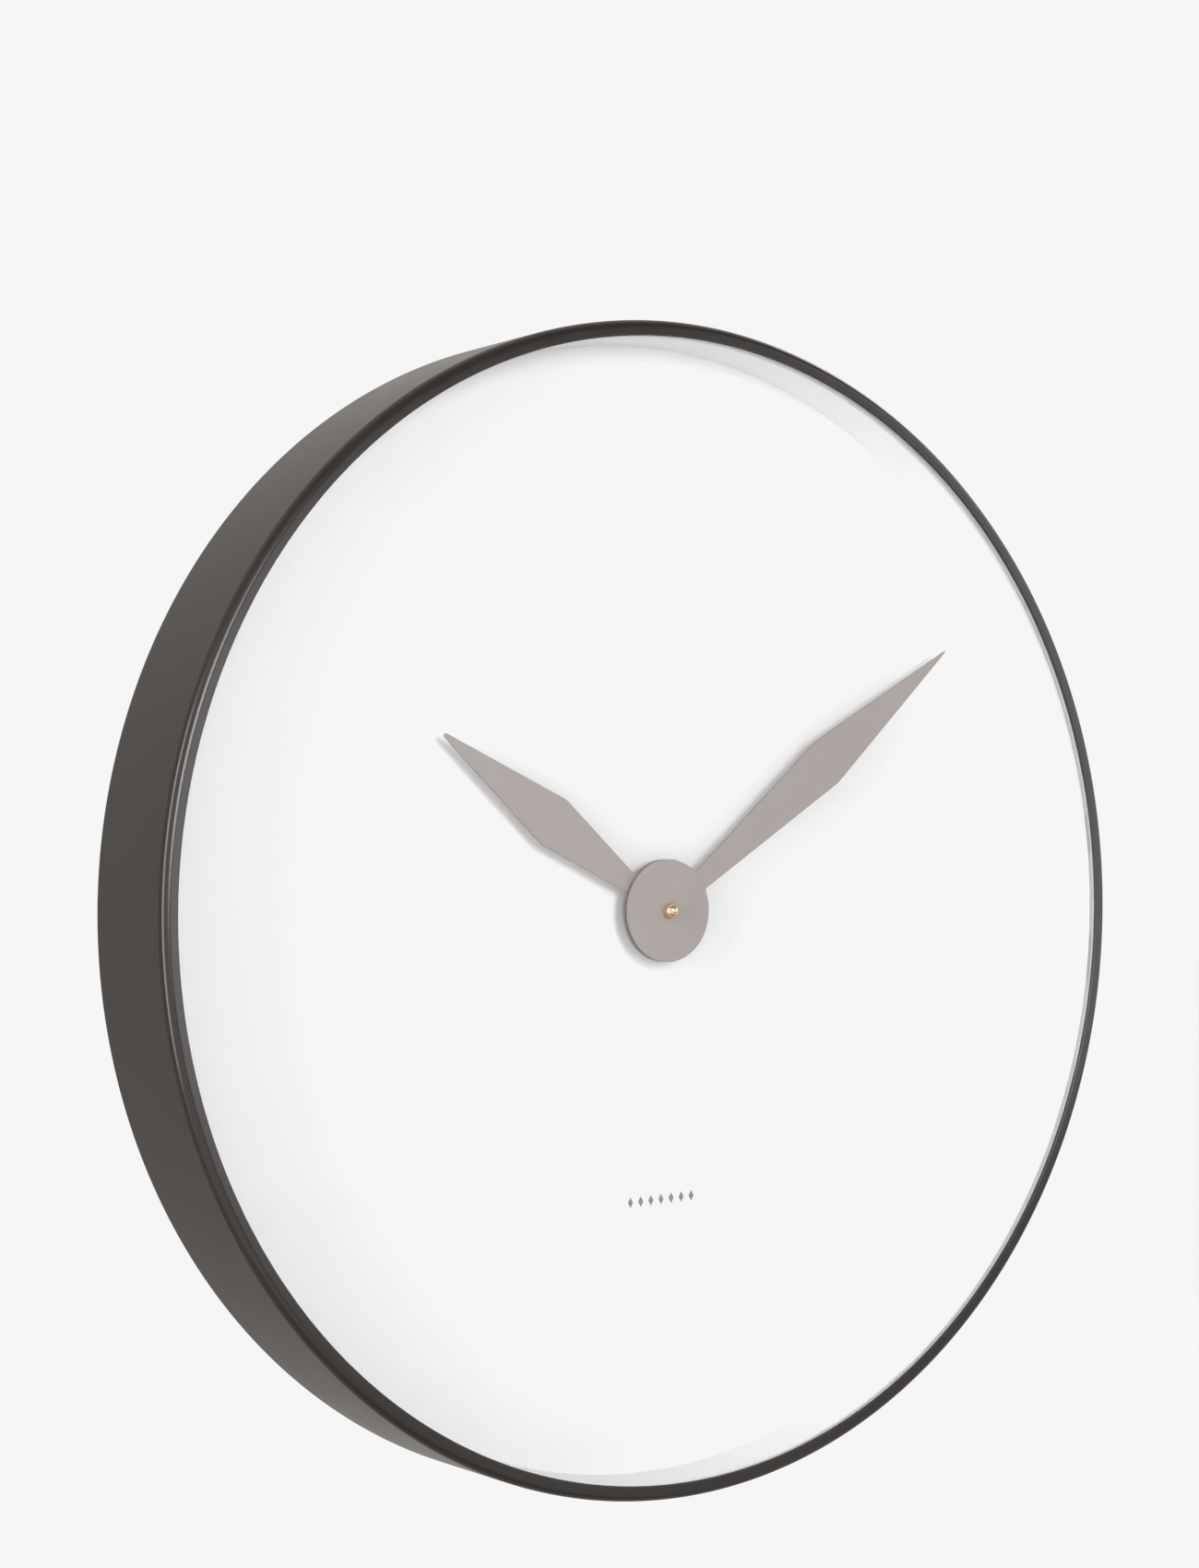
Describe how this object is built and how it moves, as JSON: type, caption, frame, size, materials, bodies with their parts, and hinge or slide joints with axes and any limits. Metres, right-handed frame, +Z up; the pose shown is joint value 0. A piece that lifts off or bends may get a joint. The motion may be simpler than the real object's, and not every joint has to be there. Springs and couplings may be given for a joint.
{
  "type": "wall clock",
  "caption": "Round wall clock with a deep straight-sided black case, plain white dial, long kite-shaped hands on large round discs and a quartz movement.",
  "frame": {"origin": "where the dial axis meets the wall: the centre of the case's flat back edge", "axes": "+Y points out of the back into the wall, the dial faces -Y, +Z is up towards 12 o'clock, +X is towards 3 o'clock"},
  "size_m": [0.4, 0.044, 0.4],
  "materials": {
    "case_black": "satin",
    "lens_glass": "polished",
    "gasket_rubber": "matte",
    "ring_white": "satin",
    "dial_white": "matte",
    "mark_ink": "matte",
    "spacer_black": "matte",
    "board_black": "matte",
    "screw_zinc": "satin",
    "hanger_zinc": "satin",
    "movement_black": "matte",
    "bridge_natural": "satin",
    "brass": "satin",
    "ball_brass": "polished",
    "steel": "satin",
    "washer_rubber": "matte",
    "hand_taupe": "satin",
    "gear_white": "satin",
    "gear_black": "satin",
    "magnet_grey": "matte",
    "stator_iron": "satin",
    "coil_copper": "gloss",
    "board_green": "gloss",
    "chip_black": "matte",
    "crystal_can": "gloss",
    "cell_jacket": "gloss",
    "contact_steel": "gloss"
  },
  "bodies": {
    "case": {"case_shell": "case_black", "lens": "lens_glass", "lens_gasket": "gasket_rubber", "inner_ring": "ring_white", "dial_plate": "dial_white", "dial_mark": "mark_ink", "spacer_ring": "spacer_black", "rear_board": "board_black", "rear_board_screws": "screw_zinc", "hanger_plate": "hanger_zinc", "hanger_rivets": "screw_zinc", "movement_front_plate": "movement_black", "movement_rear_housing": "movement_black", "bridge_plate": "bridge_natural", "threaded_bush": "brass", "rubber_washer": "washer_rubber", "brass_washer": "brass", "hex_nut": "brass", "stator": "stator_iron", "coil_core": "stator_iron", "coil_bobbin": "bridge_natural", "coil_winding": "coil_copper", "circuit_board": "board_green", "clock_chip": "chip_black", "quartz_crystal": "crystal_can", "positive_contact": "contact_steel", "negative_contact": "contact_steel"},
    "setting": {"setting_wheel": "gear_black", "setting_knob": "gear_black"},
    "minute": {"minute_arbor": "brass", "clutch_washer": "steel", "minute_hand": "hand_taupe", "minute_hand_collet": "brass", "cap_nut": "ball_brass"},
    "hour": {"hour_wheel": "gear_white", "hour_hand": "hand_taupe", "hour_hand_collet": "brass"},
    "centre": {"centre_wheel": "gear_white"},
    "third": {"third_wheel": "gear_white"},
    "seconds": {"seconds_wheel": "gear_white"},
    "intermediate": {"intermediate_wheel": "gear_white"},
    "rotor": {"rotor_pinion": "gear_white", "rotor_magnet": "magnet_grey"},
    "battery": {"battery_cell": "cell_jacket", "battery_positive_cap": "contact_steel"}
  },
  "joints": [
    {"name": "minute_hand_turn", "type": "hinge", "parent": "case", "child": "minute", "pos_m": [0, -0.0201, 0], "axis": [0, 1, 0], "continuous": true},
    {"name": "hour_hand_turn", "type": "hinge", "parent": "case", "child": "hour", "pos_m": [0, -0.0201, 0], "axis": [0, 1, 0], "continuous": true},
    {"name": "setting_knob_turn", "type": "hinge", "parent": "case", "child": "setting", "pos_m": [0, -0.0041, 0.01], "axis": [0, 1, 0], "continuous": true},
    {"name": "intermediate_wheel_turn", "type": "hinge", "parent": "case", "child": "intermediate", "pos_m": [0.00604, -0.0098, 0.01429], "axis": [0, 1, 0], "continuous": true},
    {"name": "rotor_turn", "type": "hinge", "parent": "case", "child": "rotor", "pos_m": [-0.0002, -0.0098, 0.01789], "axis": [0, 1, 0], "continuous": true},
    {"name": "seconds_wheel_turn", "type": "hinge", "parent": "case", "child": "seconds", "pos_m": [0.01271, -0.0115, 0.01044], "axis": [0, 1, 0], "continuous": true},
    {"name": "third_wheel_turn", "type": "hinge", "parent": "case", "child": "third", "pos_m": [0.00846, -0.0132, 0.00308], "axis": [0, 1, 0], "continuous": true},
    {"name": "centre_wheel_turn", "type": "hinge", "parent": "case", "child": "centre", "pos_m": [0, -0.0149, 0], "axis": [0, 1, 0], "continuous": true},
    {"name": "battery_slide", "type": "slide", "parent": "case", "child": "battery", "axis": [0, 1, 0], "range_m": [0, 0.02]}
  ],
  "couplings": [
    {"joint": "hour_hand_turn", "follows": "minute_hand_turn", "ratio": 0.083333},
    {"joint": "setting_knob_turn", "follows": "minute_hand_turn", "ratio": -0.33333},
    {"joint": "rotor_turn", "follows": "intermediate_wheel_turn", "ratio": -5},
    {"joint": "seconds_wheel_turn", "follows": "intermediate_wheel_turn", "ratio": -0.16667},
    {"joint": "third_wheel_turn", "follows": "intermediate_wheel_turn", "ratio": 0.022222},
    {"joint": "centre_wheel_turn", "follows": "intermediate_wheel_turn", "ratio": -0.0027778}
  ]
}
